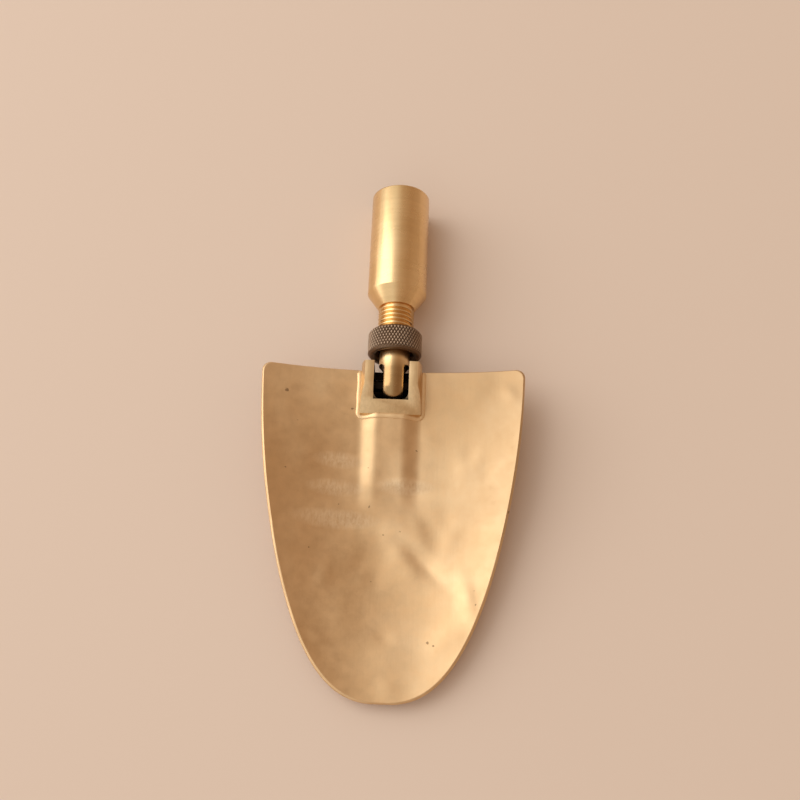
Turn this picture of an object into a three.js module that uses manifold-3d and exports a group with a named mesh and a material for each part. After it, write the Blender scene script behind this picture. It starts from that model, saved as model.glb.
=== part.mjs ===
// A folding fireplace shovel head in brass. A turned socket takes the handle. Its stem carries a
// thread with a knurled lock nut, and ends in a tongue that a pin holds between the ears of a
// clevis. The clevis runs on as a tang under a hammered blade, and is brazed to it.
//
// Lengths are in millimetres. While the pieces are made, the socket's axis is the Y axis, the
// hinge pin is at y = 0, the blade points to -Y, and its hollow side faces +Z.

import * as THREE from "three";
import { mergeVertices } from "three/addons/utils/BufferGeometryUtils.js";
import Module from "manifold-3d";

const wasm = await Module();
wasm.setup();

// Clearances.
const seatGap = 0.3;
const pinGap = 0.15;
const rivetGap = 0.05;
const notchGap = 0.4;
const sideGap = 0.1;

// Socket.
const socketDiameter = 20;
const socketLength = 38.3;
const boreDiameter = 16;
const boreDepth = 34;
const boreTipAngle = 118;
const drillTipShare = 0.6;
const rimChamfer = 0.6;
const coneLength = 5.3;

// Stem and its thread, a fine pitch thread of twelve by one and a half.
const threadDiameter = 12;
const threadPitch = 1.5;
const threadDepth = 0.92;
const threadCrestWidth = 0.2;
const threadFlankAngle = 30;
const threadLength = 15.7;
const threadRunOut = 0.15;
const neckStep = 0.2;
const studDiameter = 10;
const studLength = 12.5;

// Tongue, milled out of the stud's end.
const tongueThickness = 6.5;
const flatLength = 7;
const cutterRadius = 1.7;

// Lock nut.
const nutDiameter = 18;
const nutLength = 8.4;
const nutBackedOff = 3.4;
const nutChamfer = 0.6;
const nutBoreChamfer = 0.5;
const knurlPitch = 1;
const knurlAngle = 30;
const knurlDepth = 0.3;

// Hinge and clevis.
const pinDiameter = 4;
const clevisDiameter = 20;
const earReach = 7.2;
const slotWidth = 11.5;
const slotCornerRadius = 2.2;
const rampStart = 1;
const rampLength = 8.5;
const tangLength = 27;
const tangRootWidth = 8;
const tangTipWidth = 5;
const tangEndWidth = 3.2;
const tangRoundLength = 4;
const tangRootLap = 1;

// Blade.
const bladeWidth = 85.6;
const bladeLength = 106;
const bladeOverlap = 6;
const bladeThickness = 1.5;
const bladeCornerRadius = 3;
const outlineTaper = 1.55;
const outlineFullness = 2.6;
const topEdgeLift = 7.55;
const bellyPlace = 56;
const dishPlace = 46;
const tipCurlPlace = 68;
const tipLift = 3;
const dishExponent = 2.2;
const topDish = 5.7;
const bellyDish = 12.6;
const ridgeHeight = 2;
const ridgeTopWidth = 8;
const ridgeFootWidth = 20;
const ridgeFadeLength = 18;
const ridgeEnd = 50;
const brazeRadius = 0.5;

// Fineness of the round faces.
const turnedSides = 36;
const ballSteps = 5;
const barSides = 48;
const pinSides = 24;
const bladeColumns = 32;
const bladeRows = 32;
const tangColumns = 8;
const tangRows = 12;
const brazeSides = 5;
const brazeSteps = 9;
const brazeBendSteps = 4;
const slopeStep = 0.05;
const mergeDistance = 1e-4;

// How far a cutting block reaches past what it cuts, and how far past the blade's outline, in
// half widths, its dish is carried on.
const cutMargin = 1;
const dishCarry = 1.2;

// Places that follow from the sizes.
const socketRadius = socketDiameter / 2;
const boreRadius = boreDiameter / 2;
const crestRadius = threadDiameter / 2;
const rootRadius = crestRadius - threadDepth;
const studRadius = studDiameter / 2;
const clevisRadius = clevisDiameter / 2;

// The clevis has slid along its pin to the left, until the slot's right wall nearly meets the stud.
const sidePlay = studRadius + sideGap - slotWidth / 2;

const coneStart = studLength + threadLength;
const socketStart = coneStart + coneLength;
const socketEnd = socketStart + socketLength;
const tableLevel = -socketRadius;
const slotReach = studRadius + seatGap;
const flatTop = studRadius;
const clevisEnd = -rampStart - rampLength;
const notchEnd = clevisEnd - notchGap;
const topEdge = bladeOverlap;

const brass = new THREE.MeshStandardMaterial({ color: 0xc9a15a, roughness: 0.35, metalness: 1 });
const hammeredBrass = new THREE.MeshStandardMaterial({ color: 0xc29a55, roughness: 0.45, metalness: 1 });
const agedBrass = new THREE.MeshStandardMaterial({ color: 0x5d4630, roughness: 0.5, metalness: 1 });
const filler = new THREE.MeshStandardMaterial({ color: 0xd2b173, roughness: 0.4, metalness: 1 });

// A closed geometry as a solid that can be cut and joined.
function solidOf(geometry) {
  const bare = geometry.index ? geometry.toNonIndexed() : geometry.clone();
  for (const name of Object.keys(bare.attributes)) {
    if (name !== "position") bare.deleteAttribute(name);
  }
  const merged = mergeVertices(bare, mergeDistance);
  const mesh = new wasm.Mesh({
    numProp: 3,
    vertProperties: merged.attributes.position.array,
    triVerts: new Uint32Array(merged.index.array),
  });
  return new wasm.Manifold(mesh);
}

// A solid back as a named mesh of the scene.
function pieceOf(name, solid, material) {
  const mesh = solid.getMesh();
  const geometry = new THREE.BufferGeometry();
  geometry.setAttribute("position", new THREE.BufferAttribute(mesh.vertProperties, 3));
  geometry.setIndex(new THREE.BufferAttribute(mesh.triVerts, 1));
  geometry.computeVertexNormals();
  const piece = new THREE.Mesh(geometry, material);
  piece.name = name;
  return piece;
}

// Triangles from a list of points and a list of corner numbers.
function surface(points, corners) {
  const geometry = new THREE.BufferGeometry();
  geometry.setFromPoints(points);
  geometry.setIndex(corners);
  return geometry;
}

// A shape drawn on the plan, with x across and y along, made as thick as from low to high.
function planBlock(shape, low, high) {
  const geometry = new THREE.ExtrudeGeometry(shape, {
    depth: high - low,
    bevelEnabled: false,
    curveSegments: 8,
  });
  return solidOf(geometry.translate(0, 0, low));
}

// A shape drawn on the side view, with x along the axis and y up, made as wide as from left to right.
function sideBlock(shape, left, right) {
  const geometry = new THREE.ExtrudeGeometry(shape, { depth: right - left, bevelEnabled: false });
  geometry.translate(0, 0, left);
  const along = new THREE.Vector3(0, 1, 0);
  const up = new THREE.Vector3(0, 0, 1);
  const across = new THREE.Vector3(1, 0, 0);
  return solidOf(geometry.applyMatrix4(new THREE.Matrix4().makeBasis(along, up, across)));
}

// A round bar across the hinge, centred on the pin.
function crossBar(radius, length) {
  const geometry = new THREE.CylinderGeometry(radius, radius, length, pinSides);
  return solidOf(geometry.rotateZ(Math.PI / 2));
}

// A ring of the same number of points for each station, each ring joined to the next, and the last
// one to the first or closed by flat ends.
function ringSolid(rings, endless, diagonalTurns) {
  const sides = rings[0].length;
  const corners = [];
  const count = endless ? rings.length : rings.length - 1;
  for (let i = 0; i < count; i++) {
    const here = i * sides;
    const next = ((i + 1) % rings.length) * sides;
    for (let j = 0; j < sides; j++) {
      const k = (j + 1) % sides;
      if (diagonalTurns && (i + j) % 2 === 0) {
        corners.push(here + j, here + k, next + j, here + k, next + k, next + j);
      } else {
        corners.push(here + j, here + k, next + k, here + j, next + k, next + j);
      }
    }
  }
  if (!endless) {
    const last = (rings.length - 1) * sides;
    for (let j = 1; j < sides - 1; j++) {
      corners.push(0, j + 1, j);
      corners.push(last, last + j, last + j + 1);
    }
  }
  return solidOf(surface(rings.flat(), corners));
}

// A solid between an upper and a lower surface, each given at the same grid of stations.
function sheetSolid(rows, columns, upper, lower) {
  const points = [];
  for (let i = 0; i <= rows; i++) {
    for (let j = 0; j <= columns; j++) points.push(upper(i / rows, j / columns));
  }
  const half = points.length;
  for (let i = 0; i <= rows; i++) {
    for (let j = 0; j <= columns; j++) points.push(lower(i / rows, j / columns));
  }
  const at = (i, j) => i * (columns + 1) + j;
  const corners = [];
  const quad = (a, b, c, d) => corners.push(a, b, c, a, c, d);
  for (let i = 0; i < rows; i++) {
    for (let j = 0; j < columns; j++) {
      quad(at(i, j), at(i + 1, j), at(i + 1, j + 1), at(i, j + 1));
      quad(half + at(i, j), half + at(i, j + 1), half + at(i + 1, j + 1), half + at(i + 1, j));
    }
    quad(at(i, 0), half + at(i, 0), half + at(i + 1, 0), at(i + 1, 0));
    quad(at(i, columns), at(i + 1, columns), half + at(i + 1, columns), half + at(i, columns));
  }
  for (let j = 0; j < columns; j++) {
    quad(at(0, j), at(0, j + 1), half + at(0, j + 1), half + at(0, j));
    quad(at(rows, j), half + at(rows, j), half + at(rows, j + 1), at(rows, j + 1));
  }
  return solidOf(surface(points, corners));
}

const clamp01 = (value) => Math.min(Math.max(value, 0), 1);

// An even rise from 0 to 1 that starts and ends level.
function easeOf(value) {
  const t = clamp01(value);
  return t * t * (3 - 2 * t);
}

// Half the blade's width at a place along the axis: the sides are nearly straight at the top edge
// and close in a full round tip.
function fullHalfWidth(y) {
  const share = clamp01((topEdge - y) / bladeLength);
  return (bladeWidth / 2) * (1 - share ** outlineTaper) ** (1 / outlineFullness);
}

// The same with the two top corners slightly rounded.
function bladeHalfWidth(y) {
  const inside = bladeCornerRadius * clamp01(1 - (topEdge - y) / bladeCornerRadius);
  const lost = bladeCornerRadius - Math.sqrt(bladeCornerRadius ** 2 - inside ** 2);
  return fullHalfWidth(y) - lost;
}

// Height of the blade's upper face. The middle line comes down from the top edge to the belly that
// rests on the table, and lifts a little at the tip. The sides rise to the rim, and a raised ridge
// covers the tang.
function bladeHeight(x, y) {
  const fromEdge = topEdge - y;
  const slope = topEdgeLift * (1 - easeOf(fromEdge / bellyPlace));
  const curl = tipLift * clamp01((fromEdge - tipCurlPlace) / (bladeLength - tipCurlPlace)) ** 2;
  const dishRise = topDish + (bellyDish - topDish) * easeOf(fromEdge / dishPlace);
  const width = Math.max(fullHalfWidth(y), mergeDistance);
  const fullness = (width / (bladeWidth / 2)) ** 2;
  const side = dishRise * fullness * Math.min(Math.abs(x) / width, dishCarry) ** dishExponent;
  const across = (Math.abs(x - sidePlay) - ridgeTopWidth / 2) / ((ridgeFootWidth - ridgeTopWidth) / 2);
  const along = (ridgeEnd - fromEdge) / ridgeFadeLength;
  const ridge = ridgeHeight * (1 - easeOf(across)) * easeOf(along);
  return tableLevel + bladeThickness + slope + curl + side + ridge;
}

// The point of the blade's lower face under a point of its upper face, square through the sheet.
function underBlade(x, y, depth) {
  const slopeX = (bladeHeight(x + slopeStep, y) - bladeHeight(x - slopeStep, y)) / (2 * slopeStep);
  const slopeY = (bladeHeight(x, y + slopeStep) - bladeHeight(x, y - slopeStep)) / (2 * slopeStep);
  const normal = new THREE.Vector3(-slopeX, -slopeY, 1).normalize();
  return new THREE.Vector3(x, y, bladeHeight(x, y)).addScaledVector(normal, -depth);
}

// A turned solid: a profile below the thread, the thread itself, and a profile above it. A profile
// is a list of radius and place, and starts or ends on the axis. The thread is a strip that climbs
// one pitch in each turn, so its last column joins its first one a turn higher up.
function threadedTurning(below, above) {
  const points = [];
  const corners = [];
  const quad = (a, b, c, d) => corners.push(a, b, c, a, c, d);
  const addPoint = (radius, y, column) => {
    const angle = (column / turnedSides) * 2 * Math.PI;
    points.push(new THREE.Vector3(radius * Math.sin(angle), y, -radius * Math.cos(angle)));
    return points.length - 1;
  };
  const addRing = ([radius, y]) => {
    const ring = [];
    for (let j = 0; j < (radius > 0 ? turnedSides : 1); j++) ring.push(addPoint(radius, y, j));
    return ring;
  };
  const joinRings = (lower, upper) => {
    for (let j = 0; j < turnedSides; j++) {
      const k = (j + 1) % turnedSides;
      if (lower.length === 1) corners.push(lower[0], upper[j], upper[k]);
      else if (upper.length === 1) corners.push(lower[j], upper[0], lower[k]);
      else quad(lower[j], upper[j], upper[k], lower[k]);
    }
  };
  const lowerRings = below.map(addRing);
  const upperRings = above.map(addRing);
  for (const rings of [lowerRings, upperRings]) {
    for (let i = 1; i < rings.length; i++) joinRings(rings[i - 1], rings[i]);
  }

  const flank = threadDepth * Math.tan(THREE.MathUtils.degToRad(threadFlankAngle));
  const rootFlat = threadPitch - threadCrestWidth - 2 * flank;
  const steps = [
    [rootRadius, 0],
    [rootRadius, rootFlat],
    [crestRadius, rootFlat + flank],
    [crestRadius, rootFlat + flank + threadCrestWidth],
  ];
  const turns = Math.floor((threadLength - 2 * threadRunOut) / threadPitch) - 1;
  const rows = turns * steps.length;
  const threadFoot = coneStart - threadRunOut - (turns + 1) * threadPitch;
  const strip = [];
  for (let i = 0; i <= rows + steps.length; i++) {
    const [radius, rise] = steps[i % steps.length];
    const y = threadFoot + threadPitch * Math.floor(i / steps.length) + rise;
    const row = [];
    const columns = i <= rows ? turnedSides : 1;
    for (let j = 0; j < columns; j++) row.push(addPoint(radius, y + (threadPitch * j) / turnedSides, j));
    strip.push(row);
  }
  const at = (i, j) => (j < turnedSides ? strip[i][j] : strip[i + steps.length][0]);
  const stud = lowerRings.at(-1);
  const neck = upperRings[0];
  for (let j = 0; j < turnedSides; j++) {
    const k = (j + 1) % turnedSides;
    quad(stud[j], at(0, j), at(0, j + 1), stud[k]);
    for (let i = 0; i < rows; i++) quad(at(i, j), at(i + 1, j), at(i + 1, j + 1), at(i, j + 1));
    quad(at(rows, j), neck[j], neck[k], at(rows, j + 1));
  }
  // The two flat ends of the ridge, where the strip starts and stops.
  const fan = (loop) => {
    for (let i = 1; i < loop.length - 1; i++) corners.push(loop[0], loop[i], loop[i + 1]);
  };
  fan([at(2, 0), at(1, 0), at(0, 0), stud[0], at(4, 0), at(3, 0)]);
  fan([at(rows + 2, 0), at(rows + 3, 0), at(rows + 4, 0), neck[0], at(rows, 0), at(rows + 1, 0)]);
  return solidOf(surface(points, corners));
}

// One side of the tongue: what the cutter takes off the stud to leave a flat that ends in a round.
function flatCut() {
  const outside = studRadius + cutMargin;
  const flat = tongueThickness / 2;
  const shape = new THREE.Shape();
  shape.moveTo(flat, -outside);
  shape.lineTo(outside, -outside);
  shape.lineTo(outside, flatLength);
  shape.lineTo(flat + cutterRadius, flatLength);
  shape.absarc(flat + cutterRadius, flatLength - cutterRadius, cutterRadius, Math.PI / 2, Math.PI, false);
  shape.closePath();
  return planBlock(shape, -outside, outside);
}

// Socket, cone, threaded neck, stud and tongue: one turned piece with a blind bore for the handle.
function makeSocket() {
  const drillTip = boreRadius / Math.tan(THREE.MathUtils.degToRad(boreTipAngle / 2));
  const boreEnd = socketEnd - boreDepth;
  const below = [];
  for (let i = 0; i <= ballSteps; i++) {
    const angle = (i / ballSteps) * (Math.PI / 2);
    below.push([i === 0 ? 0 : studRadius * Math.sin(angle), -studRadius * Math.cos(angle)]);
  }
  below.push([studRadius, studLength]);
  const above = [
    [rootRadius, coneStart],
    [crestRadius + neckStep, coneStart],
    [socketRadius, socketStart],
    [socketRadius, socketEnd - rimChamfer],
    [socketRadius - rimChamfer, socketEnd],
    [boreRadius + rimChamfer, socketEnd],
    [boreRadius, socketEnd - rimChamfer],
    [boreRadius, boreEnd],
    [0, boreEnd - drillTip * drillTipShare],
  ];
  const rightFlat = flatCut();
  const leftFlat = rightFlat.rotate([0, 180, 0]);
  const pinHole = crossBar(pinDiameter / 2 + pinGap, studDiameter + 2 * cutMargin);
  return threadedTurning(below, above).subtract(rightFlat).subtract(leftFlat).subtract(pinHole);
}

// The lock nut: a ring with a diamond knurl, whose rows of peaks and hollows change places from one
// row to the next. Its bore runs clear over the thread.
function makeLockNut() {
  const lower = earReach + nutBackedOff;
  const upper = lower + nutLength;
  const nutRadius = nutDiameter / 2;
  const valleyRadius = nutRadius - knurlDepth;
  const boreClear = crestRadius + seatGap;
  const diamonds = Math.round((Math.PI * nutDiameter) / knurlPitch);
  const columns = diamonds * 2;
  const diamondLength = knurlPitch / Math.tan(THREE.MathUtils.degToRad(knurlAngle));
  const bandLength = nutLength - 2 * nutChamfer;
  const knurlRows = Math.max(2, Math.round(bandLength / (diamondLength / 2)));
  const ring = (y, radiusAt) => {
    const points = [];
    for (let j = 0; j < columns; j++) {
      const angle = (j / columns) * 2 * Math.PI;
      const radius = radiusAt(j);
      points.push(new THREE.Vector3(radius * Math.sin(angle), y, radius * Math.cos(angle)));
    }
    return points;
  };
  const plain = (y, radius) => ring(y, () => radius);
  const rings = [plain(lower, valleyRadius - nutChamfer)];
  for (let i = 0; i <= knurlRows; i++) {
    const y = lower + nutChamfer + (bandLength * i) / knurlRows;
    const atEnd = i === 0 || i === knurlRows;
    rings.push(ring(y, (j) => (atEnd || (i + j) % 2 === 0 ? valleyRadius : nutRadius)));
  }
  rings.push(plain(upper, valleyRadius - nutChamfer));
  rings.push(plain(upper, boreClear + nutBoreChamfer));
  rings.push(plain(upper - nutBoreChamfer, boreClear));
  rings.push(plain(lower + nutBoreChamfer, boreClear));
  rings.push(plain(lower, boreClear + nutBoreChamfer));
  return ringSolid(rings, true, true);
}

// The bar that the clevis and the ends of its pin are cut from.
function clevisBar(from, to) {
  const geometry = new THREE.CylinderGeometry(clevisRadius, clevisRadius, to - from, barSides);
  return solidOf(geometry.translate(sidePlay, (from + to) / 2, 0));
}

// Clevis: two ears with a slot for the tongue, a ramp down to the blade, and the tang under it.
function makeClevis() {
  const rampFoot = bladeHeight(0, clevisEnd);
  const side = new THREE.Shape();
  side.moveTo(earReach, -clevisRadius - cutMargin);
  side.lineTo(earReach, flatTop);
  side.lineTo(-rampStart, flatTop);
  side.lineTo(clevisEnd, rampFoot);
  side.lineTo(clevisEnd, -clevisRadius - cutMargin);
  side.closePath();
  const bodyBlock = sideBlock(side, -clevisDiameter, clevisDiameter);
  const body = clevisBar(clevisEnd - cutMargin, earReach + cutMargin).intersect(bodyBlock);

  const halfSlot = slotWidth / 2;
  const corner = slotCornerRadius;
  const slot = new THREE.Shape();
  slot.moveTo(sidePlay + halfSlot, earReach + cutMargin);
  slot.lineTo(sidePlay - halfSlot, earReach + cutMargin);
  slot.lineTo(sidePlay - halfSlot, corner - slotReach);
  slot.absarc(sidePlay - halfSlot + corner, corner - slotReach, corner, Math.PI, 1.5 * Math.PI, false);
  slot.absarc(sidePlay + halfSlot - corner, corner - slotReach, corner, 1.5 * Math.PI, 2 * Math.PI, false);
  slot.closePath();
  const slotCut = planBlock(slot, -slotReach, clevisRadius);

  const tangStart = clevisEnd + tangRootLap;
  const tangEnd = clevisEnd - tangLength;
  const endDrop = 1 - (tangEndWidth / tangTipWidth) ** 2;
  const tangPlace = (s, t) => {
    const y = tangStart + (tangEnd - tangStart) * s;
    const half = (tangRootWidth + (tangTipWidth - tangRootWidth) * s) / 2;
    const intoRound = clamp01(1 - (y - tangEnd) / tangRoundLength);
    const roundEnd = Math.sqrt(1 - endDrop * intoRound ** 2);
    return [sidePlay + half * roundEnd * (2 * t - 1), y];
  };
  const tangUpper = (s, t) => {
    const [x, y] = tangPlace(s, t);
    const under = underBlade(x, y, bladeThickness + seatGap);
    return new THREE.Vector3(x, y, under.z);
  };
  const tangLower = (s, t) => {
    const [x, y] = tangPlace(s, t);
    return new THREE.Vector3(x, y, -Math.sqrt(clevisRadius ** 2 - (x - sidePlay) ** 2));
  };
  const tang = sheetSolid(tangRows, tangColumns, tangUpper, tangLower);
  const pinHole = crossBar(pinDiameter / 2 + rivetGap, 2 * clevisDiameter);
  return body.subtract(slotCut).add(tang).subtract(pinHole);
}

// Hinge pin, riveted in the ears and filed flush with their round sides.
function makePin() {
  const bar = crossBar(pinDiameter / 2, 2 * clevisDiameter);
  return bar.intersect(clevisBar(-pinDiameter, pinDiameter));
}

// Blade: one hammered sheet, dished, with a notch in its top edge for the clevis.
function makeBlade() {
  const place = (s, t) => {
    const y = topEdge - (bladeLength * (1 - Math.cos(Math.PI * s))) / 2;
    const half = bladeHalfWidth(y);
    return [half * (2 * t - 1), y];
  };
  const upper = (s, t) => {
    const [x, y] = place(s, t);
    return new THREE.Vector3(x, y, bladeHeight(x, y));
  };
  const lower = (s, t) => {
    const [x, y] = place(s, t);
    return underBlade(x, y, bladeThickness);
  };
  const sheet = sheetSolid(bladeRows, bladeColumns, upper, lower);
  const half = clevisRadius + notchGap;
  const notch = new THREE.Shape();
  notch.moveTo(sidePlay - half, topEdge + bladeThickness);
  notch.lineTo(sidePlay - half, notchEnd);
  notch.lineTo(sidePlay + half, notchEnd);
  notch.lineTo(sidePlay + half, topEdge + bladeThickness);
  notch.closePath();
  return sheet.subtract(planBlock(notch, -2 * clevisRadius, 2 * clevisRadius));
}

// Brazing metal: a bead on the blade along the clevis, down one side, across its end and back up.
function makeBraze() {
  const out = clevisRadius + notchGap + seatGap + brazeRadius;
  const end = notchEnd - seatGap - brazeRadius;
  const start = topEdge - brazeRadius;
  const bend = 2 * brazeRadius;
  const path = [];
  const add = (x, y) => path.push([sidePlay + x, y]);
  for (let i = 0; i < brazeSteps; i++) add(-out, start + ((end + bend - start) * i) / brazeSteps);
  for (let i = 0; i <= brazeBendSteps; i++) {
    const angle = (i / brazeBendSteps) * (Math.PI / 2);
    add(-out + bend * (1 - Math.cos(angle)), end + bend * (1 - Math.sin(angle)));
  }
  for (let i = 1; i < brazeSteps; i++) add((bend - out) * (1 - (2 * i) / brazeSteps), end);
  for (let i = brazeBendSteps; i >= 0; i--) {
    const angle = (i / brazeBendSteps) * (Math.PI / 2);
    add(out - bend * (1 - Math.cos(angle)), end + bend * (1 - Math.sin(angle)));
  }
  for (let i = brazeSteps - 1; i >= 0; i--) add(out, start + ((end + bend - start) * i) / brazeSteps);
  const centres = path.map(([x, y]) => underBlade(x, y, -seatGap - brazeRadius));
  const rings = centres.map((centre, i) => {
    const before = centres[Math.max(i - 1, 0)];
    const after = centres[Math.min(i + 1, centres.length - 1)];
    const along = after.clone().sub(before).normalize();
    const across = new THREE.Vector3(0, 0, 1).cross(along).normalize();
    const up = along.clone().cross(across);
    const ring = [];
    for (let j = 0; j < brazeSides; j++) {
      const angle = (j / brazeSides) * 2 * Math.PI;
      const offset = across.clone().multiplyScalar(Math.cos(angle) * brazeRadius);
      ring.push(centre.clone().add(offset).addScaledVector(up, Math.sin(angle) * brazeRadius));
    }
    return ring;
  });
  return ringSolid(rings, false, false);
}

const shovel = new THREE.Group();
shovel.add(pieceOf("socket", makeSocket(), brass));
shovel.add(pieceOf("lock_nut", makeLockNut(), agedBrass));
shovel.add(pieceOf("pivot_pin", makePin(), brass));
shovel.add(pieceOf("clevis", makeClevis(), brass));
shovel.add(pieceOf("blade", makeBlade(), hammeredBrass));
shovel.add(pieceOf("braze_bead", makeBraze(), filler));

// The origin is the middle of the shovel's box, on the table that it lies on.
const box = new THREE.Box3().setFromObject(shovel);
const middle = box.getCenter(new THREE.Vector3());
shovel.position.set(-middle.x, -middle.y, -box.min.z);

export default shovel;
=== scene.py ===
# %% [markdown]
# A folding brass shovel head in Blender.
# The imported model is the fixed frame: each finished piece is made where the frame says, and rides
# on the body that moves it. Lengths are in metres, and mm() turns a drawing's millimetres into them.

# %% Load the frame
import math
import random

import bpy
import bmesh
from mathutils import Matrix, Vector, noise


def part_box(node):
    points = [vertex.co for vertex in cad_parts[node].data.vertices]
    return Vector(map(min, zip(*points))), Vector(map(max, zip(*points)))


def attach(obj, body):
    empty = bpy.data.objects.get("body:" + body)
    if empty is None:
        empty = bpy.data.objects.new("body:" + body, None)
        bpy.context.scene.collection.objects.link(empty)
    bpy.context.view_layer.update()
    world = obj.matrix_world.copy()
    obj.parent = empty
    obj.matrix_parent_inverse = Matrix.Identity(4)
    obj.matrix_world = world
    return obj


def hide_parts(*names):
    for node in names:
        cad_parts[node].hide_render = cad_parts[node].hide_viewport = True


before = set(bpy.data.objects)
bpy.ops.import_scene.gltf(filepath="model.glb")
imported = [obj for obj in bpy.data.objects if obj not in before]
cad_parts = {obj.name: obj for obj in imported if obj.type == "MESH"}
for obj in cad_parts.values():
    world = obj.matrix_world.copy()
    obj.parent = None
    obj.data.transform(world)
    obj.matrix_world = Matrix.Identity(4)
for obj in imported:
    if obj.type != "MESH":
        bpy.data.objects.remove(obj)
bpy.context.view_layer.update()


def mm(value):
    return value / 1000


# %% Places taken from the frame
pin_low, pin_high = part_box("pivot_pin")
socket_low, socket_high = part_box("socket")
nut_low, nut_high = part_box("lock_nut")
clevis_low, clevis_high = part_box("clevis")
blade_low, blade_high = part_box("blade")

pin_place = (pin_low.y + pin_high.y) / 2
axis_height = (pin_low.z + pin_high.z) / 2
pin_radius = (pin_high.z - pin_low.z) / 2
clevis_middle = (clevis_low.x + clevis_high.x) / 2
socket_radius = (socket_high.z - socket_low.z) / 2
print("pin at y", round(pin_place, 5), "and z", round(axis_height, 5))

# %% [markdown]
# The camera comes first, because the picture is compared with the photograph at every step. A
# phone looked down on the shovel from its tip, 21.6 degrees off the vertical. The lens is as long
# as the one that fits the outline and the round sections.

# %% Camera
camera_height = mm(314.6)
camera_place = (mm(6.806), mm(-110.976))
camera_tilt = math.radians(21.6)
camera_turn = math.radians(2.1)
camera_lens = 45
camera_sensor = 36
closest_seen = mm(10)

camera_data = bpy.data.cameras.new("camera")
camera_data.lens = camera_lens
camera_data.sensor_width = camera_sensor
camera_data.sensor_fit = "HORIZONTAL"
camera_data.clip_start = closest_seen
camera = bpy.data.objects.new("camera", camera_data)
bpy.context.scene.collection.objects.link(camera)
camera.matrix_world = (
    Matrix.Translation((camera_place[0], camera_place[1], camera_height))
    @ Matrix.Rotation(camera_turn, 4, "Z")
    @ Matrix.Rotation(camera_tilt, 4, "X")
)
bpy.context.scene.camera = camera
bpy.context.scene.view_settings.view_transform = "Standard"
print("camera at", [round(v, 4) for v in camera.matrix_world.translation])

# %% [markdown]
# Metal shows its surroundings more than its colour. One broad window stands at the upper left, so
# each round piece gets a white band on its left, and the room on the right is darker and warmer.
# A world shader holds that room as a ramp from right to left, whose last stretch is a lit wall. An
# area lamp is the window itself, which casts the shadow.

# %% Node helpers


def add_node(tree, kind, settings=None, inputs=None):
    """A node with its properties and its unlinked inputs set."""
    made = tree.nodes.new(kind)
    for key, value in (settings or {}).items():
        setattr(made, key, value)
    for key, value in (inputs or {}).items():
        made.inputs[key].default_value = value
    return made


def ramp_node(tree, source, stops):
    """A colour ramp from a list of places and greys or colours."""
    ramp = tree.nodes.new("ShaderNodeValToRGB")
    elements = ramp.color_ramp.elements
    while len(elements) < len(stops):
        elements.new(0.5)
    for element, (place, colour) in zip(elements, stops):
        element.position = place
        if isinstance(colour, (int, float)):
            colour = (colour, colour, colour)
        element.color = (*colour, 1)
    tree.links.new(source, ramp.inputs["Fac"])
    return ramp.outputs["Color"]


def mix_colours(tree, factor, first, second, blend="MIX"):
    """Two colours mixed. The factor and the colours are sockets or plain values."""
    mix = add_node(tree, "ShaderNodeMix", {"data_type": "RGBA", "blend_type": blend})
    for place, value in ((0, factor), (6, first), (7, second)):
        if isinstance(value, bpy.types.NodeSocket):
            tree.links.new(value, mix.inputs[place])
        elif place == 0:
            mix.inputs[place].default_value = value
        else:
            mix.inputs[place].default_value = (*value, 1)
    return mix.outputs[2]


def sum_up(tree, operation, first, second):
    """A Math node on two sockets or values."""
    math_node = add_node(tree, "ShaderNodeMath", {"operation": operation})
    for place, value in enumerate((first, second)):
        if isinstance(value, bpy.types.NodeSocket):
            tree.links.new(value, math_node.inputs[place])
        else:
            math_node.inputs[place].default_value = value
    return math_node.outputs[0]


print("node helpers ready")

# %% World and window
room_bright = (1.0, 0.97, 0.93)
room_overhead = (0.60, 0.46, 0.35)
room_dark = (0.46, 0.30, 0.19)
room_low = (0.62, 0.46, 0.34)
room_strength = 0.94
wall_strength = 2.0
wall_start = 0.90
wall_end = 0.955
window_place = Vector((mm(-1150), mm(420), mm(1020)))
window_size = mm(1300)
window_power = 10.0
window_colour = (1.0, 0.97, 0.94)

world = bpy.data.worlds.new("room")
world.use_nodes = True
bpy.context.scene.world = world
world_tree = world.node_tree
background = world_tree.nodes["Background"]
directions = add_node(world_tree, "ShaderNodeTexCoord")
split = add_node(world_tree, "ShaderNodeSeparateXYZ")
world_tree.links.new(directions.outputs["Generated"], split.inputs[0])
sideways = sum_up(world_tree, "MULTIPLY_ADD", split.outputs["X"], -0.5)
sideways.node.inputs[2].default_value = 0.5
room_stops = [
    (0.0, room_low),
    (0.22, room_dark),
    (0.46, room_overhead),
    (0.64, room_bright),
    (1.0, room_bright),
]
room_colour = ramp_node(world_tree, sideways, room_stops)
world_tree.links.new(room_colour, background.inputs["Color"])
wall_share = ramp_node(world_tree, sideways, [(0.0, 0.0), (wall_start, 0.0), (wall_end, 1.0)])
wall_extra = sum_up(world_tree, "MULTIPLY", wall_share, wall_strength - room_strength)
room_light = sum_up(world_tree, "ADD", wall_extra, room_strength)
world_tree.links.new(room_light, background.inputs["Strength"])

window_data = bpy.data.lights.new("window", "AREA")
window_data.shape = "SQUARE"
window_data.size = window_size
window_data.energy = window_power
window_data.color = window_colour
window = bpy.data.objects.new("window", window_data)
bpy.context.scene.collection.objects.link(window)
window.location = window_place
aim = Vector((0, 0, 0)) - window_place
window.rotation_euler = aim.to_track_quat("-Z", "Y").to_euler()
print("window", round(aim.length, 3), "m away")

# %% [markdown]
# The floor is plain and pale. It is part of the stage and not of the shovel, but it colours the
# undersides and catches the shadow, so it has the tone of the bleached wood in the picture.

# %% Floor
floor_half = 1.5
floor_colour = (0.74, 0.60, 0.495)
floor_roughness = 0.7

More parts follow.
